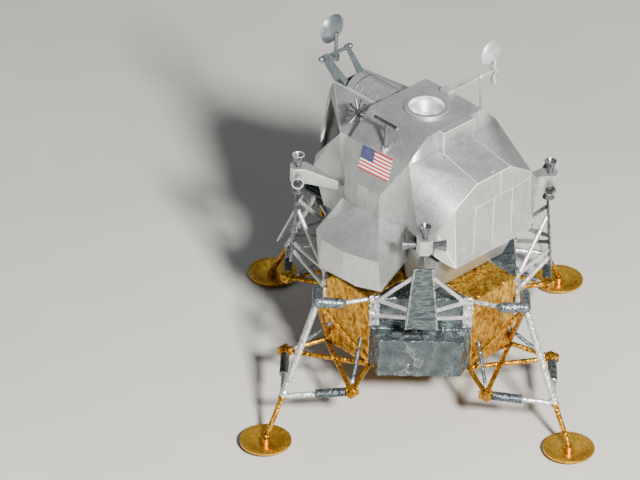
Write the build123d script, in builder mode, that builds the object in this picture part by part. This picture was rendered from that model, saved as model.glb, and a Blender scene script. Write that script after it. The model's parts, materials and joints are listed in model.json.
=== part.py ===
from build123d import *
from math import cos, radians, sin, sqrt
import os

# Display kit of a two-stage crewed lunar lander at 1:48, in millimetres.
# +Z is up, the origin is on the ground under the middle of the four footpads.
# The front (hatch, windows, ladder) faces -Y, the craft's left side is +X.

os.makedirs("parts", exist_ok=True)

# Descent stage body
arm_reach = 42.7
arm_half_width = 12.8
deck_height = 59.0
base_height = 25.1

# Well in the deck that takes the ascent engine nozzle
well_radius = 9.5
well_depth = 9.0

# Equipment box on the rear-left bay
box_proud = 8.6
box_front_half = 17.0
box_back_half = 20.6
box_low_share = 0.032
box_top_share = 0.549
box_bottom = base_height + box_low_share * (deck_height - base_height)
box_top = base_height + box_top_share * (deck_height - base_height)

# Descent engine bell
bell_exit_radius = 15.2
bell_exit_height = base_height - 14.6
bell_throat_radius = 7.0
bell_waist_radius = 12.6
bell_wall = 0.8

# Landing gear, given for one leg that points along +X
pad_reach = 88.5
pad_radius = 10.75
pad_rim_height = 3.0
pad_floor_radius = 4.6
pad_thickness = 0.9
pad_boss_radius = 2.0
pad_boss_height = 3.6
strut_top = (60.4, 0, deck_height - 0.7)
knee = (79.3, 0, base_height - 4.9)
cylinder_radius = 1.3
piston_radius = 0.95
knee_radius = 1.7
knee_length = 4.6
apex_reach = 58.9
apex_half_width = 19.7
apex_height = base_height - 1.9
sleeve_radius = 1.85
sleeve_start = 0.09
sleeve_share = 0.52
rod_radius = 1.1
truss_radius = 0.95
truss_cross_step = 0.3
truss_root_out = 1.6
bracket_size = (4.6, 4.2, 3.4)
downlock_radius = 0.8
downlock_half_width = 8.2
downlock_height = base_height + 11.4
downlock_foot_in = (1.4, 1.6)
rod_root_in = 2.0
outrigger_radius = 2.15
outrigger_rod_radius = 0.95
outrigger_bow = 2.5
outrigger_share = 0.52
outrigger_drop = 1.2

# Plume deflectors, given for the bay between the left and aft legs
deflector_top = deck_height + 23.0
deflector_bottom = deck_height - 5.0
deflector_top_reach = 51.4
deflector_bottom_reach = 53.6
deflector_top_half = 4.1
deflector_bottom_half = 6.85
deflector_lip = 1.3
deflector_wall = 0.8
corner_plate = (4.0, 1.0, 14.5)
corner_plate_top = deck_height + 1.3
deflector_strut_radius = 0.85

# Ladder and porch on the front leg
ladder_half_width = 4.4
ladder_rail_radius = 0.6
ladder_rung_radius = 0.4
ladder_rungs = 9
ladder_standoff = 3.4
ladder_start = 0.12
ladder_end = 0.93
porch_half_width = 8.6
porch_near = 44.2
porch_far = 63.0
porch_height = deck_height + 2.6
porch_thickness = 1.2
porch_rail_height = 8.0
porch_rail_radius = 0.6
porch_rail_inset = 5.0
porch_ribs = 7
porch_rib_height = 0.4
porch_far_inset = 2.0
porch_leg_half = 4.0
porch_leg_radius = 0.9

# Ascent stage
deck_top = deck_height + 68.0
deck_half = 16.3
stage_floor = deck_height + 7.0
foot_half_spread = 19.0
foot_half_pitch = 12.0
foot_radius = 1.6
foot_overlap = 2.0
lift_clearance = 0.2
block_half = 8.9
block_back = 18.95
block_rise = 67.8
fairing_front = 15.5
fairing_back = 39.1
cabin_axis_height = deck_height + 38.6
cabin_back = 17.0
cabin_front = 44.0
cabin_trough_half = 7.2
cabin_trough_rise = 20.1
cabin_trough_tall = 10.0
tunnel_radius = 8.6
tunnel_front = 39.2
hatch_half = 8.0
hatch_bottom = deck_height + 8.6
hatch_thickness = 1.4
hatch_face = 45.0
hatch_corner = 1.5
hatch_rim = 1.5
hatch_recess = 0.5
hatch_knob_side = 5.0
hatch_knob = (0.7, 0.9)
window_share = 0.92
window_thickness = 0.4
docking_outer_radius = 9.4
docking_bore_radius = 7.4
docking_proud = 0.9
docking_depth = 4.6
docking_bore_depth = 1.2
docking_seat = 0.6
docking_neck_radius = 8.7
docking_floor = 1.0
docking_floor_radius = 4.2
nozzle_exit_radius = 6.6
nozzle_lip = 1.0
nozzle_throat_radius = 3.4
nozzle_throat_drop = 3.0
nozzle_dome = 3.0
nozzle_exit_height = deck_height - 6.0

# Thruster clusters, on the diagonals
cluster_reach = 52.0
cluster_height = deck_height + 34.9
cluster_size = (6.5, 6.5, 6.6)
boom_root_reach = 35.4
boom_root_height = cluster_height - 5.3
boom_root_size = (2.4, 3.8)
thruster_exit_radius = 2.6
thruster_throat_radius = 1.0
thruster_length = 5.6
thruster_depth = 2.6
thruster_lip = 0.4

# Small antennas
spoke_hub = (21.8, -17.6, deck_height + 66.4)
spoke_stem = 3.0
spoke_count = 10
spoke_length = 5.6
spoke_radius = 0.4
spoke_tilt = (1, -0.2, 0.8)
spoke_cone = 0.35
t_base = (25.0, 1.5, deck_height + 57.6)
t_top = deck_height + 71.7
t_socket_height = 2.4
t_post_radius = 0.7
t_bar_half = 6.5
t_bar_radius = 0.75

# Rendezvous radar
shaft_height = cabin_axis_height + 32.0
shaft_forward = 53.2
shaft_half = 8.3
shaft_radius = 0.8
shaft_ball_radius = 1.3
pin_play = 0.05
fork_root_half = 4.9
fork_root_forward = 43.6
fork_width = 3.0
fork_root_height = cabin_axis_height + 24.7
fork_tip_half = 6.0
fork_wall = 0.7
fork_foot_sink = 5.5
fork_root_depth = 5.2
fork_tip_depth = 2.2
fork_tip_over = 1.2
fork_bridge = (0.8, 4.4)
radar_dish_radius = 6.6
radar_dish_height = shaft_height + 10.4
radar_weight = (1.6, 1.2, 3.4)
radar_dish_depth = 2.6
dish_wall = 0.6
feed_radius = 0.35
feed_tip_radius = 0.9
feed_tip_length = 0.6
feed_reach = 1.6

# S-band antenna
sband_side = 42.6
sband_forward = 2.5
sband_height = deck_top - 0.5
sband_knuckle = 34.5
sband_dish_radius = 5.9
sband_dish_depth = 2.2
hub_half = 1.0
pin_radius = 0.5
sband_dish_height = sband_height + 7.2
sband_weight_height = sband_height - 4.8
sband_hub_radius = 1.4
sband_knuckle_radius = 1.2
sband_foot = (3.4, 4.6, 2.0)
sband_brace_back = 15.0
pin_head = (0.9, 0.5)
sband_rod_radius = 0.7
pin_clearance = 0.3


def at(reach, side, height):
    """Point at a distance along the rear-left diagonal and sideways from it."""
    half = 1 / sqrt(2)
    return ((reach + side) * half, (reach - side) * half, height)


def along(start, end, share):
    """Point part of the way from one point to another."""
    return Vector(*start) + (Vector(*end) - Vector(*start)) * share


def rod(start, end, radius, end_radius=None, mode=Mode.ADD):
    """Add or cut a round bar, straight or tapered, between two points."""
    start, end = Vector(*start), Vector(*end)
    line = end - start
    with BuildSketch(Plane(origin=start, z_dir=line)) as near:
        Circle(radius)
    if end_radius is None:
        extrude(near.sketch, amount=line.length, mode=mode)
    else:
        with BuildSketch(Plane(origin=end, z_dir=line)) as far:
            Circle(end_radius)
        loft([near.sketch.face(), far.sketch.face()], mode=mode)


def ball(centre, radius):
    """Add a sphere."""
    with Locations(Vector(*centre)):
        Sphere(radius)


def write(piece, label):
    """Label a finished piece and write its file."""
    piece.label = label
    export_step(piece, f"parts/{label}.step")


# Descent core: two crossed arms, with a well for the ascent engine on top

with BuildPart() as descent_core:
    with BuildSketch(Plane.XY.offset(base_height)):
        Rectangle(2 * arm_reach, 2 * arm_half_width)
        Rectangle(2 * arm_half_width, 2 * arm_reach)
    extrude(amount=deck_height - base_height)
    with BuildSketch(Plane.XY.offset(deck_height)):
        Circle(well_radius)
    extrude(amount=-well_depth, mode=Mode.SUBTRACT)
write(descent_core.part, "descent_core")

# Wedge bays between the arms, the rear-left one with its equipment box

bay_corners = [
    (arm_half_width, arm_half_width),
    (arm_reach, arm_half_width),
    (arm_half_width, arm_reach),
]
bay_face = (arm_reach + arm_half_width) / sqrt(2)
with BuildPart() as bay:
    with BuildSketch(Plane.XY.offset(base_height)):
        with BuildLine():
            Polyline(*bay_corners, close=True)
        make_face()
    extrude(amount=deck_height - base_height)

with BuildPart() as box_bay:
    add(bay.part)
    box_edges = [
        (height, reach, side * half)
        for height in (box_bottom, box_top)
        for reach, half in ((bay_face, box_back_half), (bay_face + box_proud, box_front_half))
        for side in (-1, 1)
    ]
    ConvexPolyhedron([at(reach, side, height) for height, reach, side in box_edges])

with BuildPart() as bay_ring:
    for turn in (0, 90, 180, 270):
        add(bay.part.rotate(Axis.Z, turn))

quarters = [
    ("rear_left", 0),
    ("rear_right", 90),
    ("front_right", 180),
    ("front_left", 270),
]
for name, turn in quarters:
    shape = box_bay if name == "rear_left" else bay
    write(shape.part.rotate(Axis.Z, turn), f"bay_{name}")

# Descent engine bell, hollow and open below

with BuildPart() as descent_bell:
    with BuildSketch(Plane.XZ):
        with BuildLine():
            outer = ThreePointArc(
                (bell_throat_radius, base_height),
                (bell_waist_radius, (base_height + bell_exit_height) / 2),
                (bell_exit_radius, bell_exit_height),
            )
            Line(outer @ 1, (bell_exit_radius - bell_wall, bell_exit_height))
            inner = ThreePointArc(
                (bell_exit_radius - bell_wall, bell_exit_height),
                (bell_waist_radius - bell_wall, (base_height + bell_exit_height) / 2),
                (bell_throat_radius - bell_wall, base_height - bell_wall),
            )
            Line(inner @ 1, (0, base_height - bell_wall))
            Line((0, base_height - bell_wall), (0, base_height))
            Line((0, base_height), outer @ 0)
        make_face()
    revolve(axis=Axis.Z)
write(descent_bell.part, "descent_engine_bell")

# Landing gear, made once along +X and turned to the four sides

arm_top = [(arm_reach, side * arm_half_width, deck_height - outrigger_drop) for side in (-1, 1)]
arm_foot = [(arm_reach, side * arm_half_width, base_height) for side in (-1, 1)]
apex = [(apex_reach, side * apex_half_width, apex_height) for side in (-1, 1)]

with BuildPart() as outrigger:
    ball(strut_top, outrigger_radius)
    for corner in arm_top:
        elbow = along(strut_top, corner, outrigger_share) + Vector(outrigger_bow, 0, 0)
        rod(strut_top, elbow, outrigger_radius)
        ball(elbow, outrigger_radius)
        rod(elbow, Vector(*corner) - Vector(rod_root_in, 0, 0), outrigger_rod_radius)
    for taken in (descent_core, bay_ring):
        add(taken.part, mode=Mode.SUBTRACT)

with BuildPart() as cylinder:
    rod(strut_top, knee, cylinder_radius)
    collar_start = Vector(*knee) + (Vector(*strut_top) - Vector(*knee)).normalized() * knee_length / 2
    rod(collar_start, Vector(*knee), knee_radius)
    add(outrigger.part, mode=Mode.SUBTRACT)

pad_centre = (pad_reach, 0, pad_boss_height)
with BuildPart() as piston:
    rod(knee, pad_centre, piston_radius)
    ball(knee, knee_radius)
    add(cylinder.part, mode=Mode.SUBTRACT)

with BuildPart() as footpad:
    with BuildSketch(Plane.XZ):
        with BuildLine():
            Polyline(
                (0, 0),
                (pad_floor_radius, 0),
                (pad_radius - pad_thickness, pad_rim_height - pad_thickness),
                (pad_radius, pad_rim_height - pad_thickness),
                (pad_radius, pad_rim_height),
                (pad_radius - 2 * pad_thickness, pad_rim_height),
                (pad_floor_radius, pad_thickness),
                (pad_boss_radius, pad_thickness),
                (pad_boss_radius, pad_boss_height),
                (0, pad_boss_height),
                close=True,
            )
        make_face()
    revolve(axis=Axis.Z)
pad_part = footpad.part.moved(Location((pad_reach, 0, 0)))
with BuildPart() as seated_pad:
    add(pad_part)
    add(piston.part, mode=Mode.SUBTRACT)

with BuildPart() as truss:
    for near, far, level in ((0, 1, 1), (1, 0, -1)):
        step = Vector(0, 0, level * truss_cross_step)
        foot_end = Vector(*arm_foot[near]) - Vector(rod_root_in, 0, 0)
        head_end = Vector(*strut_top) + (foot_end - Vector(*strut_top)).normalized() * truss_root_out
        rod(head_end, foot_end, truss_radius)
        rod(Vector(*arm_foot[near]) - Vector(rod_root_in / 2, 0, 0), apex[near], truss_radius)
        rod(Vector(*arm_foot[far]) - Vector(rod_root_in / 2, 0, 0) + step, Vector(*apex[near]) + step, truss_radius)
        with Locations(Vector(*apex[near])):
            Box(*bracket_size)
    for taken in (descent_core, bay_ring, outrigger, cylinder):
        add(taken.part, mode=Mode.SUBTRACT)

with BuildPart() as secondary:
    for side, corner in zip((-1, 1), apex):
        middle = along(corner, knee, sleeve_share)
        rod(along(corner, knee, sleeve_start), middle, sleeve_radius)
        rod(middle, knee, rod_radius)
        lock_top = (arm_reach, side * downlock_half_width, downlock_height)
        lock_foot = Vector(*corner) - Vector(downlock_foot_in[0], side * downlock_foot_in[1], 0)
        rod(lock_foot, lock_top, downlock_radius)
    for taken in (descent_core, truss, cylinder, piston):
        add(taken.part, mode=Mode.SUBTRACT)

leg_pieces = [
    ("outrigger", outrigger.part),
    ("primary_cylinder", cylinder.part),
    ("primary_piston", piston.part),
    ("footpad", seated_pad.part),
    ("truss", truss.part),
    ("secondary_struts", secondary.part),
]
legs = [("left", 0), ("aft", 90), ("right", 180), ("front", 270)]
for piece_name, shape in leg_pieces:
    for leg_name, turn in legs:
        write(shape.rotate(Axis.Z, turn), f"{piece_name}_{leg_name}")

# Plume deflectors and their struts

with BuildPart() as deflector:
    sections = []
    for reach, half, height in (
        (deflector_top_reach, deflector_top_half, deflector_top),
        (deflector_bottom_reach, deflector_bottom_half, deflector_bottom),
    ):
        inner_half = half - deflector_wall
        outline = [
            (reach, -half),
            (reach, half),
            (reach + deflector_lip, half),
            (reach + deflector_lip, inner_half),
            (reach + deflector_wall, inner_half),
            (reach + deflector_wall, -inner_half),
            (reach + deflector_lip, -inner_half),
            (reach + deflector_lip, -half),
        ]
        sections.append(Face(Wire.make_polygon([at(r, s, height) for r, s in outline])))
    loft(sections, ruled=True)

# columns: root and tip above the deck, tip's share of the deflector's half width
deflector_strut_ends = [
    (-2.0, 19.0, 0.8),
    (-0.4, 3.5, 0.9),
    (-8.5, 0.0, 0.9),
]
with BuildPart() as deflector_mount:
    for side in (-1, 1):
        plate = corner_plate[0]
        corner_side = side * (arm_reach - arm_half_width) / sqrt(2)
        inner_side = corner_side - side * plate
        edges = [
            at(reach, across, height)
            for reach in (bay_face, bay_face + corner_plate[1])
            for across in (corner_side, inner_side)
            for height in (corner_plate_top, corner_plate_top - corner_plate[2])
        ]
        ConvexPolyhedron(edges)
        for root_rise, tip_rise, tip_share in deflector_strut_ends:
            root_height = deck_height + root_rise
            tip_height = deck_height + tip_rise
            share = (deflector_top - tip_height) / (deflector_top - deflector_bottom)
            half = deflector_top_half + (deflector_bottom_half - deflector_top_half) * share
            reach = deflector_top_reach + (deflector_bottom_reach - deflector_top_reach) * share
            root = at(bay_face + corner_plate[1] / 2, corner_side - side * plate / 2, root_height)
            tip = at(reach, side * half * tip_share, tip_height)
            rod(root, tip, deflector_strut_radius)
    for taken in (deflector, bay, descent_core):
        add(taken.part, mode=Mode.SUBTRACT)

for name, turn in quarters:
    write(deflector.part.rotate(Axis.Z, turn), f"deflector_{name}")
    write(deflector_mount.part.rotate(Axis.Z, turn), f"deflector_mount_{name}")

# Porch over the front leg, and the ladder down its strut

with BuildPart() as porch:
    with BuildSketch(Plane.XY.offset(porch_height)):
        with Locations((0, -(porch_near + porch_far) / 2)):
            Rectangle(2 * porch_half_width, porch_far - porch_near)
    extrude(amount=porch_thickness)
    rib_step = 2 * porch_half_width / porch_ribs
    with BuildSketch(Plane.XY.offset(porch_height + porch_thickness)):
        with Locations((0, -(porch_near + porch_far) / 2)):
            with GridLocations(rib_step, 0, porch_ribs, 1):
                Rectangle(rib_step / 2, porch_far - porch_near)
    extrude(amount=porch_rib_height)
    rail_top = porch_height + porch_thickness + porch_rail_height
    for side in (-1, 1):
        rail_side = side * (porch_half_width - porch_rail_radius)
        near_post = (rail_side, -porch_near - porch_rail_inset, porch_height + porch_thickness)
        far_post = (rail_side, -porch_far + porch_far_inset, porch_height + porch_thickness)
        rod(near_post, (rail_side, near_post[1], rail_top), porch_rail_radius)
        rod(far_post, (rail_side, far_post[1], rail_top), porch_rail_radius)
        rod((rail_side, near_post[1], rail_top), (rail_side, far_post[1], rail_top), porch_rail_radius)
        ball((rail_side, near_post[1], rail_top), porch_rail_radius)
        ball((rail_side, far_post[1], rail_top), porch_rail_radius)
        leg_foot = (side * porch_leg_half, -strut_top[0], strut_top[2])
        rod(leg_foot, (leg_foot[0], leg_foot[1], porch_height), porch_leg_radius)
    add(outrigger.part.rotate(Axis.Z, 270), mode=Mode.SUBTRACT)
write(porch.part, "porch")

front_top = Vector(0, -strut_top[0], strut_top[2])
front_knee = Vector(0, -knee[0], knee[2])
strut_line = (front_knee - front_top).normalized()
strut_outward = Vector(0, strut_line.Z, -strut_line.Y)
with BuildPart() as ladder:
    for side in (-1, 1):
        offset_side = strut_outward * ladder_standoff + Vector(side * ladder_half_width, 0, 0)
        rail_start = along(front_top, front_knee, ladder_start) + offset_side
        rail_end = along(front_top, front_knee, ladder_end) + offset_side
        rod(rail_start, rail_end, ladder_rail_radius)
    for step in range(ladder_rungs):
        share = ladder_start + (ladder_end - ladder_start) * (step + 0.5) / ladder_rungs
        middle = along(front_top, front_knee, share) + strut_outward * ladder_standoff
        sideways = Vector(ladder_half_width, 0, 0)
        rod(middle - sideways, middle + sideways, ladder_rung_radius)
        if step in (1, ladder_rungs - 2):
            rod(middle, middle - strut_outward * ladder_standoff, ladder_rail_radius)
    for taken in (outrigger, cylinder):
        add(taken.part.rotate(Axis.Z, 270), mode=Mode.SUBTRACT)
    add(porch.part, mode=Mode.SUBTRACT)
write(ladder.part, "ladder")

# Ascent stage shells: flat facets between these corners
# columns: half width, forward position along Y, height above the deck

midsection_corners = [
    (16.3, -16.3, 68.0),
    (16.3, 16.3, 68.0),
    (25.6, 15.5, 58.7),
    (25.4, 5.6, 59.2),
    (26.5, -17.6, 56.0),
    (31.2, -7.3, 40.8),
    (31.2, 5.1, 40.8),
    (31.2, -7.3, 21.0),
    (31.2, 5.1, 21.0),
    (28.8, -17.6, 32.0),
    (27.5, -17.6, 21.0),
    (25.6, 15.5, 21.0),
    (20.0, -17.6, 7.0),
    (20.0, 17.0, 7.0),
]
# Lower back of the midsection, which stands just above the deck
lower_back_corners = [
    (21.0, 12.0, 0.2),
    (21.0, 27.0, 0.2),
    (24.5, 30.0, 12.0),
    (24.5, 33.0, 19.0),
    (24.5, 12.0, 19.0),
]
# Fairing beside the equipment bay
fairing_corners = [
    (8.9, 16.3, 58.8),
    (25.6, 15.5, 58.7),
    (9.8, 39.1, 53.7),
    (22.3, 38.9, 45.9),
    (29.7, 36.5, 37.4),
    (32.0, 28.7, 31.7),
    (25.6, 15.5, 28.0),
    (29.6, 36.0, 30.0),
    (20.0, 16.5, 28.0),
    (20.0, 36.0, 28.0),
]
# Aft equipment bay
aft_bay_corners = [
    (8.9, 18.95, 58.2),
    (9.8, 39.3, 53.7),
    (22.3, 39.0, 45.9),
    (29.2, 36.3, 36.5),
    (29.7, 35.7, 25.5),
    (24.5, 38.6, 20.2),
    (21.9, 40.9, 18.5),
    (22.0, 18.0, 45.0),
    (22.0, 18.0, 19.5),
]
# Crew cabin
cabin_corners = [
    (8.2, -17.0, 63.3),
    (8.2, -45.8, 63.3),
    (9.6, -17.0, 58.8),
    (9.2, -42.4, 59.0),
    (24.0, -25.5, 53.9),
    (22.5, -17.0, 53.9),
    (23.0, -33.7, 42.9),
    (24.3, -24.5, 45.2),
    (20.5, -44.1, 28.0),
    (24.5, -20.0, 30.0),
    (9.6, -46.8, 59.5),
    (12.3, -46.0, 42.5),
    (14.8, -45.0, 31.0),
    (14.0, -45.0, 28.0),
    (12.0, -45.0, 9.0),
    (20.0, -38.0, 11.0),
    (22.0, -17.6, 13.0),
]
# Triangular pane in each canted side of the cabin
window_triangle = [(9.2, -42.4, 59.0), (24.0, -25.5, 53.9), (14.6, -44.4, 31.2)]
# Direction in which the recess around the left pane opens
window_recess = (4.2, -2.6, -1.2)
# Left cover over the larger fuel tank, not mirrored
fuel_cover_corners = [
    (26.5, -19.8, 27.3),
    (31.2, -7.3, 30.0),
    (43.9, -12.7, 26.0),
    (49.4, -12.7, 24.3),
    (52.4, -6.2, 23.4),
    (52.2, 6.1, 23.4),
    (41.0, 3.8, 26.9),
    (31.2, 5.1, 30.0),
    (29.9, 7.4, 29.0),
    (25.6, 15.5, 28.4),
    (47.4, 21.4, 23.2),
    (29.0, 17.2, 14.1),
    (46.1, 22.1, 9.0),
    (50.2, 11.9, 8.5),
    (52.7, -7.0, 9.7),
    (52.7, 6.5, 10.9),
    (48.6, -12.0, 10.6),
    (26.5, -17.0, 10.6),
    (22.0, 14.0, 27.0),
    (22.0, -14.5, 27.0),
    (22.0, 14.0, 10.5),
    (22.0, -12.0, 10.5),
]
# Right cover over the smaller oxidizer tank
oxidizer_cover_corners = [
    (-27.0, -17.6, 28.3),
    (-31.2, -7.3, 30.5),
    (-36.5, -11.0, 24.5),
    (-38.5, -5.5, 24.0),
    (-38.5, 5.5, 24.0),
    (-36.0, 15.5, 23.0),
    (-31.2, 5.1, 30.5),
    (-25.6, 15.5, 29.4),
    (-38.5, -5.5, 11.0),
    (-38.5, 5.5, 11.0),
    (-35.0, 17.0, 10.5),
    (-28.0, 16.0, 13.0),
    (-36.5, -10.5, 11.0),
    (-26.5, -16.0, 11.0),
    (-22.0, 14.0, 27.0),
    (-22.0, -12.0, 27.0),
    (-22.0, 14.0, 10.5),
    (-22.0, -12.0, 10.5),
]


def above_deck(corners):
    """The corners with their heights counted from the ground."""
    return [(side, forward, deck_height + rise) for side, forward, rise in corners]


def both_sides(corners):
    """The corners above the deck and their mirror images across the craft's middle."""
    return above_deck([(side * half, forward, rise) for half, forward, rise in corners for side in (-1, 1)])


with BuildPart() as nozzle:
    with BuildSketch(Plane.XZ):
        with BuildLine():
            Polyline(
                (0, stage_floor),
                (0, nozzle_exit_height + nozzle_dome),
                (nozzle_exit_radius - nozzle_lip, nozzle_exit_height),
                (nozzle_exit_radius, nozzle_exit_height),
                (nozzle_throat_radius, stage_floor - nozzle_throat_drop),
                (nozzle_throat_radius, stage_floor),
                close=True,
            )
        make_face()
    revolve(axis=Axis.Z)
write(nozzle.part, "ascent_engine_nozzle")

with BuildPart() as docking_ring:
    with BuildSketch(Plane.XZ):
        with BuildLine():
            Polyline(
                (0, deck_top - docking_depth),
                (docking_floor_radius, deck_top - docking_depth),
                (docking_bore_radius, deck_top - docking_bore_depth),
                (docking_bore_radius, deck_top + docking_proud),
                (docking_outer_radius, deck_top + docking_proud),
                (docking_outer_radius, deck_top - docking_seat),
                (docking_neck_radius, deck_top - docking_seat),
                (docking_floor_radius, deck_top - docking_depth - docking_floor),
                (0, deck_top - docking_depth - docking_floor),
                close=True,
            )
        make_face()
    revolve(axis=Axis.Z)
write(docking_ring.part, "docking_ring")

with BuildPart() as aft_bay:
    ConvexPolyhedron(both_sides(aft_bay_corners))
    block_low = deck_height + aft_bay_corners[0][2] - block_half / 2
    block_edges = [
        (side * block_half, forward, height)
        for side in (-1, 1)
        for forward in (fairing_front, block_back)
        for height in (block_low, deck_height + block_rise)
    ]
    ConvexPolyhedron(block_edges)
write(aft_bay.part, "aft_equipment_bay")


with BuildPart() as midsection:
    ConvexPolyhedron(both_sides(midsection_corners))
    ConvexPolyhedron(both_sides(lower_back_corners))
    for side in (-1, 1):
        mirrored = [(side * half, forward, rise) for half, forward, rise in fairing_corners]
        ConvexPolyhedron(above_deck(mirrored))
    foot_spots = [
        (x, y)
        for x in (-foot_half_spread, foot_half_spread)
        for y in (-foot_half_pitch, foot_half_pitch)
    ]
    with BuildSketch(Plane.XY.offset(deck_height + lift_clearance)):
        with Locations(*foot_spots):
            Circle(foot_radius)
    extrude(amount=stage_floor - deck_height + foot_overlap)
    with BuildSketch(Plane.XZ):
        with BuildLine():
            Polyline(
                (0, deck_top + docking_seat),
                (docking_outer_radius, deck_top + docking_seat),
                (docking_outer_radius, deck_top - docking_seat),
                (docking_neck_radius, deck_top - docking_seat),
                (docking_floor_radius, deck_top - docking_depth - docking_floor),
                (0, deck_top - docking_depth - docking_floor),
                close=True,
            )
        make_face()
    revolve(axis=Axis.Z, mode=Mode.SUBTRACT)
    for taken in (nozzle, aft_bay):
        add(taken.part, mode=Mode.SUBTRACT)
write(midsection.part, "midsection")

with BuildPart() as cabin:
    ConvexPolyhedron(both_sides(cabin_corners))
    trough_middle = cabin_axis_height + cabin_trough_rise + cabin_trough_tall / 2
    with Locations((0, -cabin_front, trough_middle)):
        Box(2 * cabin_trough_half, 2 * cabin_front, cabin_trough_tall, mode=Mode.SUBTRACT)
    with BuildPart(mode=Mode.PRIVATE) as barrel:
        with BuildSketch(Plane.XZ.offset(cabin_back)):
            with Locations((0, trough_middle - cabin_trough_tall / 2)):
                Circle(tunnel_radius)
            with Locations((0, trough_middle)):
                Rectangle(2 * cabin_trough_half, cabin_trough_tall, mode=Mode.INTERSECT)
        extrude(amount=tunnel_front - cabin_back)
    add(barrel.part)
    for side in (-1, 1):
        push_x, push_y, push_z = window_recess
        recess_corners = [
            (side * (half + share * push_x), forward + share * push_y, rise + share * push_z)
            for half, forward, rise in window_triangle
            for share in (0, 1)
        ]
        ConvexPolyhedron(above_deck(recess_corners), mode=Mode.SUBTRACT)
    add(midsection.part, mode=Mode.SUBTRACT)
write(cabin.part, "crew_cabin")

for name, corners in (("fuel", fuel_cover_corners), ("oxidizer", oxidizer_cover_corners)):
    with BuildPart() as cover:
        ConvexPolyhedron(above_deck(corners))
        for taken in (midsection, aft_bay, cabin):
            add(taken.part, mode=Mode.SUBTRACT)
    write(cover.part, f"{name}_tank_cover")

# Front hatch and the two canted windows beside it

with BuildPart() as hatch:
    with BuildSketch(Plane.XZ.offset(hatch_face)):
        with Locations((0, hatch_bottom + hatch_half)):
            RectangleRounded(2 * hatch_half, 2 * hatch_half, hatch_corner)
    extrude(amount=hatch_thickness)
    with BuildSketch(Plane.XZ.offset(hatch_face + hatch_thickness)):
        with Locations((0, hatch_bottom + hatch_half)):
            hatch_inside = 2 * (hatch_half - hatch_rim)
            RectangleRounded(hatch_inside, hatch_inside, hatch_corner)
    extrude(amount=-hatch_recess, mode=Mode.SUBTRACT)
    knob_foot = Vector(hatch_knob_side, -hatch_face, hatch_bottom + hatch_half)
    rod(knob_foot, knob_foot - Vector(0, hatch_thickness + hatch_knob[1], 0), hatch_knob[0])
    add(cabin.part, mode=Mode.SUBTRACT)
write(hatch.part, "front_hatch")

with BuildPart() as windows:
    for side in (-1, 1):
        pane_corners = above_deck([(side * half, forward, rise) for half, forward, rise in window_triangle])
        corners = [Vector(*corner) for corner in pane_corners]
        middle = (corners[0] + corners[1] + corners[2]) / 3
        outward = (corners[2] - corners[0]).cross(corners[1] - corners[0]).normalized() * side
        panes = [middle + (corner - middle) * window_share for corner in corners]
        ConvexPolyhedron([pane + outward * lift for pane in panes for lift in (0, window_thickness)])
    add(cabin.part, mode=Mode.SUBTRACT)
write(windows.part, "front_windows")

# Thruster clusters: housing, boom to the body and four nozzles, made once on the rear-left diagonal

with BuildPart() as cluster:
    wide, deep, tall = (size / 2 for size in cluster_size)
    ConvexPolyhedron(
        [
            at(cluster_reach + radial, side, cluster_height + rise)
            for radial in (-deep, deep)
            for side in (-wide, wide)
            for rise in (-tall, tall)
        ]
    )
    boom_ends = [
        (cluster_reach - deep, wide, cluster_height, tall),
        (boom_root_reach, boom_root_size[0] / 2, boom_root_height, boom_root_size[1] / 2),
    ]
    ConvexPolyhedron(
        [
            at(reach, side * half, height + rise * up)
            for reach, half, height, rise in boom_ends
            for side in (-1, 1)
            for up in (-1, 1)
        ]
    )
    hub = Vector(*at(cluster_reach, 0, cluster_height))
    across = Vector(1, -1, 0).normalized()
    for line, half in ((Vector(0, 0, 1), tall), (across, wide)):
        for sign in (-1, 1):
            throat = hub + line * sign * half
            mouth = hub + line * sign * (half + thruster_length)
            inside = mouth - line * sign * thruster_depth
            rod(throat, mouth, thruster_throat_radius, thruster_exit_radius)
            rod(
                mouth,
                inside,
                thruster_exit_radius - thruster_lip,
                thruster_throat_radius,
                mode=Mode.SUBTRACT,
            )
body_shapes = [midsection.part, aft_bay.part, cabin.part]
for name, turn in quarters:
    with BuildPart() as placed:
        add(cluster.part.rotate(Axis.Z, turn))
        for shape in body_shapes:
            add(shape, mode=Mode.SUBTRACT)
    write(placed.part, f"thruster_cluster_{name}")

# Small antennas on the top deck's left side

with BuildPart() as spoke_antenna:
    hub = Vector(*spoke_hub)
    axis_line = Vector(*spoke_tilt).normalized()
    rod(hub - axis_line * spoke_stem, hub, spoke_radius * 1.6)
    ball(hub, spoke_radius * 2.2)
    spread = Plane(origin=hub, z_dir=axis_line)
    for step in range(spoke_count):
        angle = radians(360 * step / spoke_count)
        outward = spread.x_dir * cos(angle) + spread.y_dir * sin(angle) + axis_line * spoke_cone
        rod(hub, hub + outward.normalized() * spoke_length, spoke_radius, spoke_radius * 1.5)
    for shape in body_shapes:
        add(shape, mode=Mode.SUBTRACT)
write(spoke_antenna.part, "spoke_antenna")

with BuildPart() as t_antenna:
    base = Vector(*t_base)
    top = Vector(base.X, base.Y, t_top)
    rod(base, top, t_post_radius)
    rod(base, base + Vector(0, 0, t_socket_height), 2 * t_post_radius)
    rod(top - Vector(0, t_bar_half, 0), top + Vector(0, t_bar_half, 0), t_bar_radius)
    for shape in body_shapes:
        add(shape, mode=Mode.SUBTRACT)
write(t_antenna.part, "t_antenna")

# Rendezvous radar: tapered beams, cross shaft and dish

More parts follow.
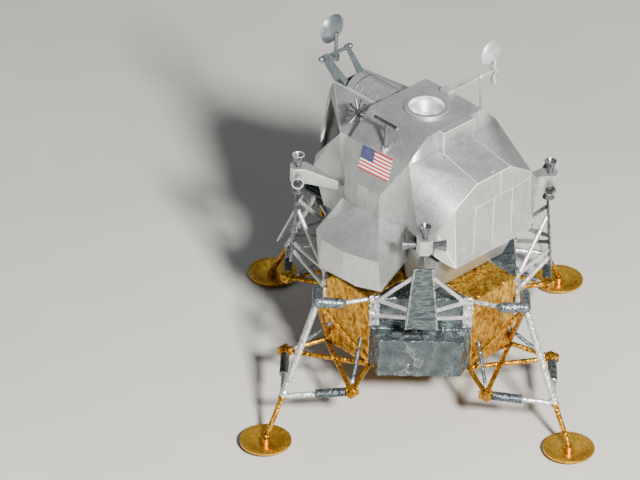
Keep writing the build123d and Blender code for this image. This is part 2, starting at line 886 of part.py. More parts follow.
with BuildPart() as fork:
    for side in (-1, 1):
        root = Vector(side * fork_root_half, -fork_root_forward, fork_root_height)
        tip = Vector(side * fork_tip_half, -shaft_forward, shaft_height)
        line = (tip - root).normalized()
        back_line = Vector(1, 0, 0).cross(line).normalized() * -1
        root = root - line * fork_foot_sink
        tip = tip + line * fork_tip_over
        # columns: outer face, inner face, front edge past the back face
        for outer, inner, depth_share in ((1, 1 - 2 * fork_wall / fork_width, 1), (1, -1, fork_wall / fork_root_depth)):
            plate = []
            for place, depth, half in ((root, fork_root_depth, 1.0), (tip, fork_tip_depth, 0.8)):
                for across in (outer, inner):
                    for back in (fork_tip_depth / 2, fork_tip_depth / 2 - depth * depth_share):
                        shift = Vector(side * across * half * fork_width / 2, 0, 0)
                        plate.append(place + shift + back_line * back)
            ConvexPolyhedron(plate)
    bridge_back, bridge_tall = fork_bridge
    with Locations((0, -fork_root_forward, fork_root_height - bridge_tall / 2)):
        Box(2 * fork_root_half + fork_width - fork_wall, bridge_back, bridge_tall)
    for side in (-1, 1):
        bore_start = Vector(side * (fork_tip_half - fork_width), -shaft_forward, shaft_height)
        bore_end = Vector(side * (fork_tip_half + fork_width), -shaft_forward, shaft_height)
        rod(bore_start, bore_end, shaft_radius + pin_play, mode=Mode.SUBTRACT)
    add(cabin.part, mode=Mode.SUBTRACT)
write(fork.part, "radar_fork")


def dish(centre, radius, depth):
    """Add a shallow bowl that faces -Y, its back apex towards +Y, with a feed on a thin stem."""
    curve = (radius**2 + depth**2) / (2 * depth)
    with BuildSketch(Plane.XY) as bowl:
        with BuildLine():
            back = ThreePointArc(
                (0, curve),
                (radius / 2, sqrt(curve**2 - radius**2 / 4)),
                (radius, curve - depth),
            )
            edge = Line(back @ 1, (radius - dish_wall / 2, curve - depth))
            ThreePointArc(
                edge @ 1,
                (radius / 2, sqrt((curve - dish_wall) ** 2 - radius**2 / 4)),
                (0, curve - dish_wall),
            )
            Line((0, curve - dish_wall), (0, curve))
        make_face()
    with BuildPart(mode=Mode.PRIVATE) as shell:
        revolve(bowl.sketch, axis=Axis.Y)
        feed_end = curve - depth - feed_reach
        rod((0, curve - dish_wall, 0), (0, feed_end, 0), feed_radius)
        rod((0, feed_end + feed_tip_length, 0), (0, feed_end, 0), feed_tip_radius)
    add(shell.part.moved(Location(Vector(*centre) - Vector(0, curve, 0))))


with BuildPart() as radar:
    pivot = Vector(0, -shaft_forward, shaft_height)
    rod(pivot - Vector(shaft_half, 0, 0), pivot + Vector(shaft_half, 0, 0), shaft_radius)
    for side in (-1, 1):
        ball(pivot + Vector(side * shaft_half, 0, 0), shaft_ball_radius)
    back = Vector(0, -shaft_forward, radar_dish_height)
    weight_radius, weight_top, weight_bottom = radar_weight
    rod(pivot, back - Vector(0, 0, dish_wall), shaft_radius)
    rod(pivot - Vector(0, 0, weight_bottom), pivot - Vector(0, 0, weight_top), weight_radius)
    rod(pivot - Vector(0, 0, weight_top), pivot, shaft_radius)
    dish(back, radar_dish_radius, radar_dish_depth)
write(radar.part, "radar_dish")

# S-band antenna: boom from the deck's right edge, stem with its weight, and dish

with BuildPart() as sband_boom:
    knuckle = Vector(-sband_knuckle, -sband_forward, sband_height)
    deck_edge = Vector(-deck_half, -sband_forward, deck_top)
    foot_long, foot_wide, foot_tall = sband_foot
    foot_middle = deck_edge + Vector(foot_long / 2, 0, foot_tall / 2)
    with Locations(foot_middle):
        Box(*sband_foot)
    for side in (-1, 1):
        rod(foot_middle + Vector(0, side * foot_wide / 3, 0), knuckle, sband_rod_radius)
    brace_foot = Vector(-deck_half, sband_brace_back, deck_top - sband_rod_radius)
    rod(brace_foot, knuckle, sband_rod_radius * 0.7)
    ball(knuckle, sband_knuckle_radius)
    boom_end = Vector(-sband_side + hub_half + pin_clearance, -sband_forward, sband_height)
    rod(knuckle, boom_end, sband_rod_radius)
    pin_end = Vector(-sband_side - hub_half - pin_clearance, -sband_forward, sband_height)
    rod(boom_end, pin_end, pin_radius)
    rod(pin_end, pin_end - Vector(pin_head[1], 0, 0), pin_head[0])
    add(midsection.part, mode=Mode.SUBTRACT)
write(sband_boom.part, "sband_boom")

with BuildPart() as sband:
    pivot = Vector(-sband_side, -sband_forward, sband_height)
    rod(pivot - Vector(hub_half, 0, 0), pivot + Vector(hub_half, 0, 0), sband_hub_radius)
    low = Vector(-sband_side, -sband_forward, sband_weight_height)
    high = Vector(-sband_side, -sband_forward, sband_dish_height)
    rod(low, high, sband_rod_radius)
    rod(low - Vector(0, 0, sband_hub_radius), low + Vector(0, 0, sband_hub_radius), sband_hub_radius)
    dish(high, sband_dish_radius, sband_dish_depth)
    rod(
        pivot - Vector(hub_half + 1, 0, 0),
        pivot + Vector(hub_half + 1, 0, 0),
        pin_radius + pin_play,
        mode=Mode.SUBTRACT,
    )
write(sband.part, "sband_dish")
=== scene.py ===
import json
import math

import bmesh
import bpy
from mathutils import Matrix, Vector, noise
from mathutils.bvhtree import BVHTree


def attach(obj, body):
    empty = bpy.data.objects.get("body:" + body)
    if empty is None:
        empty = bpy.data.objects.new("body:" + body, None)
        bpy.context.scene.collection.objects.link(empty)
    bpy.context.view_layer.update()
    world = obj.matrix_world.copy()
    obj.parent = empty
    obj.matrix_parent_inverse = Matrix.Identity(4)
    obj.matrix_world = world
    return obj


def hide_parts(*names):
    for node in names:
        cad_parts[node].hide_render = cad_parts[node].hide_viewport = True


MM = 0.001

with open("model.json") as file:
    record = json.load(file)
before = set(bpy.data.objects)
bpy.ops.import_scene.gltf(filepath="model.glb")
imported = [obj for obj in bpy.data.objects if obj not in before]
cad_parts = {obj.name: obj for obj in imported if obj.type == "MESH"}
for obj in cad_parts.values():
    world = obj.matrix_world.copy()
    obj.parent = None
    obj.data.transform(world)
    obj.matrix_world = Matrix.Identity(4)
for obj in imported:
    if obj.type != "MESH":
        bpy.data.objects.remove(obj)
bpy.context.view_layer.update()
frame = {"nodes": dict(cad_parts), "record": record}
scene = bpy.context.scene
cad = frame["nodes"]

# columns: name, degrees turned from the +X leg, or from the rear-left bay
legs = [("left", 0), ("aft", 90), ("right", 180), ("front", 270)]
quarters = [("rear_left", 0), ("rear_right", 90), ("front_right", 180), ("front_left", 270)]


# Camera at the photograph's place

camera_azimuth = 45.02
camera_elevation = 33.28
camera_roll = 1.444
camera_place = (1.0571, 0.9981, 1.0147)
camera_lens = 234.11


def look(azimuth, elevation, roll):
    """Rotation of a camera that stands at that azimuth from +X and looks back and down."""
    a, e, r = (math.radians(angle) for angle in (azimuth, elevation, roll))
    forward = -Vector((math.cos(a) * math.cos(e), math.sin(a) * math.cos(e), math.sin(e)))
    level = forward.cross(Vector((0, 0, 1))).normalized()
    above = level.cross(forward)
    right = math.cos(r) * level + math.sin(r) * above
    up = math.cos(r) * above - math.sin(r) * level
    return Matrix((right, up, -forward)).transposed()


camera_data = bpy.data.cameras.new("camera")
camera = bpy.data.objects.new("camera", camera_data)
scene.collection.objects.link(camera)
camera_data.sensor_width = 36.0
camera_data.lens = camera_lens
camera_data.clip_start = 0.05
camera_data.clip_end = 20.0
camera.location = camera_place
camera.rotation_euler = look(camera_azimuth, camera_elevation, camera_roll).to_euler()
scene.camera = camera


# Lights, sky and floor

lit_height = 0.07


def lamp(name, azimuth, elevation, distance, size, power, colour=(1, 1, 1)):
    """A round area light that stands at that azimuth and elevation and faces the middle."""
    data = bpy.data.lights.new(name, "AREA")
    data.shape = "DISK"
    data.size = size
    data.energy = power
    data.color = colour
    item = bpy.data.objects.new(name, data)
    scene.collection.objects.link(item)
    turn = look(azimuth, elevation, 0.0)
    item.location = turn @ Vector((0, 0, distance)) + Vector((0, 0, lit_height))
    item.rotation_euler = turn.to_euler()


# columns: name, azimuth, elevation, distance and size in m, power in W, colour
lamp("key_light", 64.3, 36.0, 1.2, 0.16, 50.0, (1.0, 0.97, 0.92))
lamp("fill_light", -20.0, 45.0, 1.4, 0.7, 0.5)
lamp("back_light", 215.0, 50.0, 1.4, 0.7, 1.0)

sky_low, sky_high = (0.16, 0.17, 0.19), (0.88, 0.93, 1.0)
sky_strength = 0.20
world = bpy.data.worlds.new("world")
scene.world = world
world.use_nodes = True
sky = world.node_tree
place = sky.nodes.new("ShaderNodeTexCoord").outputs["Generated"]
split = sky.nodes.new("ShaderNodeSeparateXYZ")
sky.links.new(place, split.inputs[0])
fade = sky.nodes.new("ShaderNodeValToRGB")
sky.links.new(split.outputs["Z"], fade.inputs[0])
for step, position, colour in zip(fade.color_ramp.elements, (0.05, 0.85), (sky_low, sky_high)):
    step.position = position
    step.color = (*colour, 1)
sky.links.new(fade.outputs["Color"], sky.nodes["Background"].inputs["Color"])
sky.nodes["Background"].inputs["Strength"].default_value = sky_strength


# Materials

class Recipe:
    """A material being made: its nodes are added one by one and linked by name."""

    def __init__(self, name):
        self.material = bpy.data.materials.new(name)
        self.material.use_nodes = True
        tree = self.material.node_tree
        self.nodes, self.links = tree.nodes, tree.links
        self.shader = self.nodes["Principled BSDF"]
        self.place = self.nodes.new("ShaderNodeTexCoord").outputs["Object"]

    def put(self, socket, value):
        """Links a socket to an output, or sets it to a plain value."""
        if isinstance(value, bpy.types.NodeSocket):
            self.links.new(value, socket)
        else:
            socket.default_value = value

    def node(self, kind, output, **inputs):
        """Adds a node. Lower-case names are its own settings, the others its inputs."""
        made = self.nodes.new("ShaderNode" + kind)
        for name, value in inputs.items():
            if hasattr(made, name) and name.islower():
                setattr(made, name, value)
            else:
                self.put(made.inputs[name.replace("_", " ")], value)
        return made.outputs[output]

    def noise(self, scale, detail, stretch=None, turn=None, roughness=0.5):
        """Noise over the piece, stretched along the axes and turned by those degrees."""
        where = self.place
        if stretch:
            mapping = self.nodes.new("ShaderNodeMapping")
            self.put(mapping.inputs["Vector"], where)
            mapping.inputs["Scale"].default_value = stretch
            if turn:
                mapping.inputs["Rotation"].default_value = [math.radians(angle) for angle in turn]
            where = mapping.outputs["Vector"]
        return self.node("TexNoise", "Fac", Vector=where, Scale=scale, Detail=detail,
                         Roughness=roughness)

    def math(self, operation, a, b=0.0):
        """One sum on sockets or numbers."""
        made = self.nodes.new("ShaderNodeMath")
        made.operation = operation
        self.put(made.inputs[0], a)
        self.put(made.inputs[1], b)
        return made.outputs[0]

    def blend(self, *shares):
        """Weighted sum of sockets, given as pairs of socket and weight."""
        total = None
        for socket, weight in shares:
            part = self.math("MULTIPLY", socket, weight)
            total = part if total is None else self.math("ADD", total, part)
        return total

    def ramp(self, value, stops):
        """Colours, or shades of grey, at those positions, with even steps between."""
        made = self.nodes.new("ShaderNodeValToRGB")
        self.put(made.inputs[0], value)
        steps = made.color_ramp.elements
        while len(steps) < len(stops):
            steps.new(0.5)
        for step, (position, colour) in zip(steps, stops):
            step.position = position
            step.color = (*colour, 1) if isinstance(colour, tuple) else (colour,) * 3 + (1,)
        return made.outputs["Color"]

    def mix(self, share, a, b, kind):
        """Two colours mixed in that way."""
        made = self.nodes.new("ShaderNodeMix")
        made.data_type = "RGBA"
        made.blend_type = kind
        for socket, value in zip((made.inputs[0], made.inputs[6], made.inputs[7]), (share, a, b)):
            if isinstance(value, tuple):
                value = (*value, 1)
            self.put(socket, value)
        return made.outputs[2]

    def spread(self, value, low, high, to_low, to_high):
        """A value moved from one range into another."""
        return self.node("MapRange", "Result", Value=value, From_Min=low, From_Max=high,
                         To_Min=to_low, To_Max=to_high)

    def corners(self, colour, reach, dark):
        """The colour made darker in corners by painted shade, from how closely they are hemmed in.
        """
        shade = self.node("AmbientOcclusion", "AO", Distance=reach * MM)
        return self.mix(1.0, colour, self.ramp(shade, [(0.30, dark), (0.85, 1.0)]), "MULTIPLY")

    def bump(self, height, distance, strength):
        """Fine relief that only changes the shading."""
        made = self.nodes.new("ShaderNodeBump")
        self.put(made.inputs["Height"], height)
        made.inputs["Distance"].default_value = distance
        made.inputs["Strength"].default_value = strength
        return made.outputs["Normal"]

    def finish(self, **inputs):
        """Sets the shader's inputs and gives the material."""
        for name, value in inputs.items():
            if isinstance(value, tuple):
                value = (*value, 1)
            self.put(self.shader.inputs[name.replace("_", " ")], value)
        return self.material


def brushed_paint(name, dark, mid, light, metallic, rough, corner_shade=0.65, relief=0.07):
    """Metallic paint put on with a small brush: fine slanting streaks, thin spots and painted shade
    in corners.
    """
    m = Recipe(name)
    streaks = m.noise(1300, 4, (1, 1, 0.14), (24, 0, 0), roughness=0.62)
    crossed = m.noise(1500, 3, (0.16, 1, 1), (0, 0, 35), roughness=0.6)
    clouds = m.noise(75, 4, roughness=0.6)
    grains = m.noise(4800, 2)
    tone = m.blend((streaks, 0.38), (crossed, 0.27), (clouds, 0.35))
    colour = m.ramp(tone, [(0.34, dark), (0.50, mid), (0.68, light)])
    if corner_shade < 1:
        # Painted shade darkens the corners.
        colour = m.corners(colour, 2.2, corner_shade)
    wear = m.blend((streaks, 0.6), (clouds, 0.4))
    height = m.blend((streaks, 0.5), (crossed, 0.3), (grains, 0.2))
    return m.finish(Base_Color=colour, Metallic=metallic,
                    Roughness=m.spread(wear, 0.3, 0.7, *rough),
                    Normal=m.bump(height, relief * MM, 0.6))


def foil_paint(name, hollow, mid, ridge, metallic, rough, mottle=0.35, slant=(1, 1, 0.45),
               relief=0.22, peak=0.84):
    """Painted foil: the colour follows the skin's creases, painted shade in hollows and a painted
    highlight on ridges, with fine slanting crinkles on top.
    """
    m = Recipe(name)
    crease = m.node("Attribute", "Fac", attribute_name="crease")
    pinched = m.noise(720, 3, slant, (28, 0, 0), roughness=0.55)
    folds = m.math("SUBTRACT", 1.0, m.math("ABSOLUTE", m.blend((pinched, 4.0), (1.0, -2.0))))
    grains = m.noise(1700, 4, roughness=0.65)
    tone = m.blend((crease, 1 - mottle), (folds, mottle * 0.55), (grains, mottle * 0.45))
    # Painted shade darkens the corners; the crease tone paints shade into hollows and highlights
    # onto ridges.
    colour = m.corners(m.ramp(tone, [(0.24, hollow), (0.52, mid), (peak, ridge)]), 1.8, 0.45)
    height = m.blend((folds, 0.65), (grains, 0.35))
    return m.finish(Base_Color=colour, Metallic=metallic,
                    Roughness=m.spread(grains, 0.3, 0.7, *rough),
                    Normal=m.bump(height, relief * MM, 0.75))


def ink(name, colour, light):
    """Printed film: an even ink with a fine grain and slight fading."""
    m = Recipe(name)
    tone = m.blend((m.noise(2600, 2), 0.5), (m.noise(260, 3), 0.5))
    return m.finish(Base_Color=m.ramp(tone, [(0.35, colour), (0.70, light)]), Metallic=0.0,
                    Roughness=m.spread(tone, 0.3, 0.7, 0.34, 0.5),
                    Normal=m.bump(tone, 0.02 * MM, 0.4))


# columns for brushed_paint: name, dark, middle and light tone, metallic, range of roughness, how
# dark the painted shade makes corners, and the streaks' relief in mm
# columns for foil_paint: name, tone in hollows (painted shade), between, and on ridges (painted
# highlight), metallic, range of roughness, mottle's share of the tone, stretch of the crinkles,
# their relief in mm, and the tone at which the ridge's colour is full
# columns for ink: name, its colour, and where it has faded
finishes = {
    "silver": brushed_paint("silver_paint", (0.38, 0.398, 0.392), (0.54, 0.558, 0.552),
                            (0.72, 0.738, 0.732), 0.86, (0.38, 0.54)),
    # Light paint for rounded edges and seams: wear, and a painted highlight along them.
    "silver_worn": brushed_paint("silver_edge_wear_and_highlight", (0.55, 0.56, 0.55), (0.86, 0.87, 0.86),
                                 (0.97, 0.97, 0.96), 0.35, (0.26, 0.40), 0.9),
    "gold_foil": foil_paint("gold_foil_paint", (0.06, 0.018, 0.001), (0.42, 0.170, 0.005),
                            (0.93, 0.60, 0.095), 0.95, (0.22, 0.38), 0.46,
                            (0.6, 0.6, 0.24), 0.46, 0.82),
    "gold_paint": brushed_paint("gold_brush_paint", (0.34, 0.165, 0.014), (0.64, 0.38, 0.050),
                                (0.93, 0.66, 0.15), 0.86, (0.28, 0.42), 0.5, 0.12),
    "pad_gold": brushed_paint("pad_gold_paint", (0.24, 0.098, 0.007), (0.62, 0.325, 0.026),
                              (0.96, 0.64, 0.110), 0.88, (0.22, 0.36), 0.4, 0.16),
    "grey_foil": foil_paint("grey_foil_paint", (0.040, 0.052, 0.056), (0.090, 0.113, 0.121),
                            (0.31, 0.355, 0.36), 0.72, (0.20, 0.32), 0.24,
                            (0.7, 0.7, 0.6), 0.20, 0.88),
    "deflector_slate": foil_paint("deflector_slate_paint", (0.045, 0.057, 0.062),
                                  (0.074, 0.093, 0.099), (0.15, 0.18, 0.19), 0.68,
                                  (0.28, 0.42), 0.16, (0.8, 0.8, 1.2), 0.09),
    "deflector_rim": foil_paint("deflector_rim_paint", (0.08, 0.10, 0.105), (0.20, 0.235, 0.245),
                                (0.55, 0.59, 0.59), 0.70, (0.24, 0.38), 0.5),
    "plate_foil": foil_paint("plate_foil_paint", (0.09, 0.10, 0.105), (0.42, 0.44, 0.44),
                             (0.94, 0.95, 0.94), 0.90, (0.18, 0.32), 0.25, (0.7, 0.7, 0.7), 0.30),
    "strut_grey": brushed_paint("strut_grey_paint", (0.10, 0.12, 0.13), (0.17, 0.205, 0.22),
                                (0.34, 0.38, 0.40), 0.7, (0.28, 0.44), 0.6),
    "wrinkled_grey": foil_paint("wrinkled_grey_paint", (0.045, 0.057, 0.066),
                                (0.115, 0.140, 0.155), (0.27, 0.305, 0.325), 0.75, (0.24, 0.38)),
    "sleeve_slate": foil_paint("sleeve_slate_paint", (0.014, 0.019, 0.022), (0.048, 0.063, 0.072),
                               (0.15, 0.18, 0.20), 0.6, (0.28, 0.42)),
    "wrinkled_silver": foil_paint("wrinkled_silver_paint", (0.22, 0.24, 0.25), (0.56, 0.58, 0.58),
                                  (0.92, 0.93, 0.92), 0.74, (0.22, 0.36)),
    "white_silver": brushed_paint("white_silver_paint", (0.44, 0.45, 0.45), (0.62, 0.63, 0.63),
                                  (0.84, 0.85, 0.84), 0.62, (0.28, 0.42), 0.5),
    "bright_silver": brushed_paint("bright_silver_paint", (0.68, 0.69, 0.68), (0.78, 0.79, 0.78),
                                   (0.88, 0.89, 0.88), 0.80, (0.36, 0.44), 1, 0.015),
    "steel_dark": brushed_paint("dark_steel_paint", (0.08, 0.088, 0.09), (0.17, 0.18, 0.185),
                                (0.38, 0.39, 0.39), 0.9, (0.22, 0.36), 0.5, 0.03),
    "window_black": brushed_paint("window_black_paint", (0.006, 0.006, 0.008),
                                  (0.010, 0.010, 0.012), (0.02, 0.02, 0.023), 0.0, (0.34, 0.46),
                                  0.8, 0.02),
    "flag_red": ink("flag_red_ink", (0.42, 0.010, 0.018), (0.54, 0.026, 0.034)),
    "flag_white": ink("flag_white_ink", (0.72, 0.73, 0.74), (0.82, 0.82, 0.82)),
    "flag_blue": ink("flag_blue_ink", (0.007, 0.013, 0.080), (0.016, 0.028, 0.135)),
}

floor_reach = 4.0
floor_mesh = bpy.data.meshes.new("floor")
floor_corners = [(x * floor_reach, y * floor_reach, 0)
                 for x, y in ((-1, -1), (1, -1), (1, 1), (-1, 1))]
floor_mesh.from_pydata(floor_corners, [], [(0, 1, 2, 3)])
floor = bpy.data.objects.new("floor", floor_mesh)
scene.collection.objects.link(floor)
stone = Recipe("floor_plain")
floor_dark, floor_light = (0.52, 0.51, 0.485), (0.58, 0.57, 0.545)
floor_tone = stone.ramp(stone.noise(7.0, 4), [(0.35, floor_dark), (0.70, floor_light)])
floor_mesh.materials.append(stone.finish(Base_Color=floor_tone, Roughness=0.85))


# Each node's material slot, and the body that carries it

slots = {row["node"]: row["material_slot"] for row in frame["record"]["subparts"]}
carrier = {}
for body, members in frame["record"]["behaviour"]["bodies"].items():
    for member in members:
        carrier[member] = body


# Pieces made from the CAD nodes

weld_distance = 0.004


def node_mesh(name):
    """A node's mesh with its doubled points merged."""
    made = bmesh.new()
    made.from_mesh(cad[name].data)
    bmesh.ops.remove_doubles(made, verts=made.verts, dist=weld_distance * MM)
    return made


def new_piece(name, made, body, finish, smooth=True):
    """A shown piece from a bmesh, with one or more finishes, which moves with that body."""
    mesh = bpy.data.meshes.new(name)
    made.to_mesh(mesh)
    made.free()
    item = bpy.data.objects.new(name, mesh)
    scene.collection.objects.link(item)
    for each in [finish] if isinstance(finish, str) else finish:
        mesh.materials.append(finishes[each])
    for face in mesh.polygons:
        face.use_smooth = smooth
    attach(item, body)
    return item


def settle(item, *modifiers):
    """Applies modifiers to a piece's mesh and removes them."""
    for kind, settings in modifiers:
        modifier = item.modifiers.new(kind.lower(), kind)
        for key, value in settings.items():
            setattr(modifier, key, value)
    depsgraph = bpy.context.evaluated_depsgraph_get()
    shape = bpy.data.meshes.new_from_object(item.evaluated_get(depsgraph))
    item.modifiers.clear()
    old, item.data = item.data, shape
    bpy.data.meshes.remove(old)


def turned(place, turn):
    """A place in mm, turned back to where the first leg or the first bay stands."""
    a = math.radians(-turn)
    x, y = place.x / MM, place.y / MM
    return Vector((x * math.cos(a) - y * math.sin(a), x * math.sin(a) + y * math.cos(a),
                   place.z / MM))


def outward(place):
    """How far out a place is toward the first bay's middle."""
    return (place.x + place.y) / math.sqrt(2)


def sideways(place):
    """How far to either side of the first bay's middle a place is."""
    return abs(place.x - place.y) / math.sqrt(2)


def gap_to(place, start, end):
    """Distance of a place from a line between two points, and the share along it."""
    line = end - start
    share = max(0.0, min(1.0, (place - start).dot(line) / line.length_squared))
    return (place - start - line * share).length, share


# Heights of crumpled foil, from -1 in the hollows to 1 on the ridges

def facet_lean(point):
    """A facet's own direction of slope, the same for all its places."""
    return noise.cell_vector(point * 37.0) - Vector((0.5, 0.5, 0.5))


def crinkled(place):
    """Foil pressed down by hand: small tilted facets with sharp ridges between them."""
    bend = noise.noise_vector(place * 0.6) * 0.8
    near, points = noise.voronoi(place + bend)
    ridge = min(near[1] - near[0], 0.6) / 0.6
    site = facet_lean(points[0])
    tilt = (place + bend - points[0]).dot(site) * 1.5
    fold = 1 - 2 * abs(noise.noise(place * 1.9 + bend))
    return max(-1.0, min(1.0, 0.45 - 0.65 * ridge + tilt + 0.45 * (fold - 0.45)))


def sharp_folds(place, spread, width):
    """Straight creases between flat facets, and each facet's slight tilt."""
    bend = noise.noise_vector(place * 0.7) * 0.25
    near, points = noise.voronoi(place * spread + bend)
    site = facet_lean(points[0])
    return max(0.0, 1 - (near[1] - near[0]) / width), (place * spread + bend - points[0]).dot(site)


def wrapped(place):
    """Foil drawn tight over a box: almost flat facets, sharp creases, finer ones in places."""
    long_crease, long_tilt = sharp_folds(place, 0.45, 0.07)
    crease, tilt = sharp_folds(place + Vector((5.1, 2.2, 9.4)), 1.1, 0.18)
    long_shown = max(0.0, min(1.0, 3.0 * noise.noise(place * 0.5 + Vector((3.1, 8.2, 5.5))) + 0.15))
    shown = max(0.0, min(1.0, 3.2 * noise.noise(place * 0.36 + Vector((7.3, 1.1, 4.7))) - 0.25))
    fine = max(0.0, 1 - 5.0 * abs(noise.noise(place * 2.1)))
    height = 0.34 * noise.noise(place * 0.85) + 0.5 * long_tilt + 0.7 * long_crease * long_shown
    height += shown * (0.5 * tilt + 0.5 * crease + 0.25 * fine)
    return max(-1.0, min(1.0, height - 0.08))


def wrinkled(place):
    """A painted tube or strip with small pinched wrinkles."""
    bend = noise.noise_vector(place * 0.8) * 0.7
    fold = 1 - 2 * abs(noise.noise(place + bend))
    fine = noise.noise(place * 2.3)
    return max(-1.0, min(1.0, 1.1 * (fold - 0.5) + 0.5 * fine))


def crumpled(name, voxel, reach, grain, shape, stretch, turn, parts, wrap=0.0):
    """Replaces a node by a finely meshed skin, creased like painted foil and wrap mm thick.

    parts(place) gives a place's own finish number and how strong its creases are.
    """
    names = [slots[name]] if parts is None else parts.finishes
    item = new_piece("skin_" + name, node_mesh(name), carrier[name], names)
    settle(item, ("REMESH", {"mode": "VOXEL", "voxel_size": voxel * MM, "use_smooth_shade": True}))
    mesh = item.data
    mesh.materials.clear()
    for each in names:
        mesh.materials.append(finishes[each])
    scale = Vector(stretch) / grain
    moved, tones, kinds = [], [], []
    for place, normal in [(point.co.copy(), point.normal.copy()) for point in mesh.vertices]:
        height = shape(place / MM * scale)
        kind, strength = (0, 1.0) if parts is None else parts(turned(place, turn))
        kinds.append(kind)
        # This crease tone later paints shade into the hollows and highlights onto the ridges.
        tones.extend((0.5 + 0.5 * height,) * 3 + (1.0,))
        moved.extend(place + normal * ((height * reach * strength + wrap) * MM))
    mesh.vertices.foreach_set("co", moved)
    mesh.color_attributes.new("crease", "FLOAT_COLOR", "POINT").data.foreach_set("color", tones)
    if len(names) > 1:
        for face in mesh.polygons:
            face.material_index = kinds[face.vertices[0]]
    mesh.update()
    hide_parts(name)


class Parts:
    """A rule that tells a piece's parts from each other, with the finishes it counts in."""

    def __init__(self, finishes, rule):
        self.finishes, self.rule = finishes, rule

    def __call__(self, place):
        return self.rule(place)


# Places on the first leg and the first bay, in mm, and shares of a strut's length

apexes = [Vector((58.9, side * 19.7, 23.2)) for side in (-1, 1)]
knee = Vector((79.3, 0, 20.2))
lock_lines = [(Vector((57.5, side * 18.1, 23.2)), Vector((42.7, side * 8.2, 36.5)))
              for side in (-1, 1)]
sleeve_share, lock_foot_share = 0.52, 0.16
apex_lump = 3.9
loose_below = 38.0
arm_end, elbow_half_width = 51.5, 6.9
bay_face, slope_foot = 39.24, 43.0
plate_outer, plate_inner = bay_face + 1.5, 16.6
plate_bottom, plate_top = 45.3, 60.7
deflector_top, deflector_height = 82.0, 28.0
deflector_reach, deflector_flare, rim_depth = 51.4, 2.2, 1.08


def strut_parts(place):
    """Slate sleeve, pale rod near the knee, and the thin lock bar with its pale foot."""
    along, share = min(gap_to(place, apex, knee) for apex in apexes)
    beside, lock_share = min(gap_to(place, *line) for line in lock_lines)
    if beside < along:
        return (2, 0.8) if lock_share < lock_foot_share else (1, 0.9)
    return (0, 1.0) if share < sleeve_share else (2, 0.7)


def truss_parts(place):
    """Gold bars with a lump of crumpled gold foil at each apex."""
    near = min((place - apex).length for apex in apexes)
    return (0, 2.6) if near < apex_lump else (0, 0.55)


def mount_parts(place):
    """Crumpled bright plates on the bay's corners, and smooth pale struts."""
    beside = outward(place) < plate_outer and sideways(place) > plate_inner
    return (0, 1.0) if beside and plate_bottom < place.z < plate_top else (1, 0.25)


def deflector_parts(place):
    """Slate face, and the rim's front edge where the paint is worn light."""
    face = deflector_reach + deflector_flare * (deflector_top - place.z) / deflector_height
    return (1, 1.0) if outward(place) > face + rim_depth else (0, 1.0)


def box_parts(place):
    """The slope on top of the equipment box is more wrinkled than its faces."""
    out = outward(place) - bay_face
    return (0, 1.5) if out > 0.5 and place.z > slope_foot else (0, 1.0)


def cylinder_parts(place):
    """Foil wound round the leg, looser towards its foot."""
    return (0, 1.0) if place.z < loose_below else (0, 0.6)


def outrigger_parts(place):
    """Thick wrapped tube, and the thinner rod at the arm."""
    return (0, 1.0) if place.x > arm_end or abs(place.y) < elbow_half_width else (1, 0.8)


even = (1.0, 1.0, 1.0)
fine_voxel, coarse_voxel = 0.37, 0.52
# columns: node, voxel in mm, crease height and crease spacing in mm, kind, stretch, turn, parts, and
# for a rod wound in foil the foil's thickness in mm
skins = [("descent_core", 0.50, 0.36, 2.4, crinkled, (1.0, 1.0, 0.60), 0, None)]
for name, turn in quarters:
    voxel = fine_voxel if name == "rear_left" else coarse_voxel
    skins += [
        ("bay_" + name, voxel, 0.80, 3.0, wrapped, (1.0, 1.0, 0.8), turn,
         Parts(["grey_foil"], box_parts)),
        ("deflector_" + name, 0.30, 0.07, 1.1, wrinkled, (0.30, 0.30, 1.0), turn,
         Parts(["deflector_slate", "deflector_rim"], deflector_parts)),
        ("deflector_mount_" + name, 0.30, 0.50, 1.9, crinkled, even, turn,
         Parts(["plate_foil", "white_silver"], mount_parts)),
    ]
for name, turn in legs:
    skins += [
        ("outrigger_" + name, 0.32, 0.14, 1.5, wrinkled, even, turn,
         Parts(["wrinkled_grey", "wrinkled_silver"], outrigger_parts)),
        ("truss_" + name, 0.33, 0.17, 1.2, wrinkled, even, turn,
         Parts(["gold_foil"], truss_parts), 0.10),
        ("primary_cylinder_" + name, 0.34, 0.13, 1.3, wrinkled, (1.0, 1.0, 0.8), turn,
         Parts(["wrinkled_silver"], cylinder_parts), 0.12),
        ("primary_piston_" + name, 0.30, 0.13, 1.2, wrinkled, even, turn,
         Parts(["gold_foil"], cylinder_parts), 0.15),
        ("secondary_struts_" + name, 0.30, 0.16, 1.3, wrinkled, even, turn,
         Parts(["sleeve_slate", "wrinkled_grey", "wrinkled_silver"], strut_parts)),
    ]
for row in skins:
    crumpled(*row)


# Shells whose painted edges are slightly rounded

flat_angle = 1.0
corner_cut = 1.5
normal_weight = 60


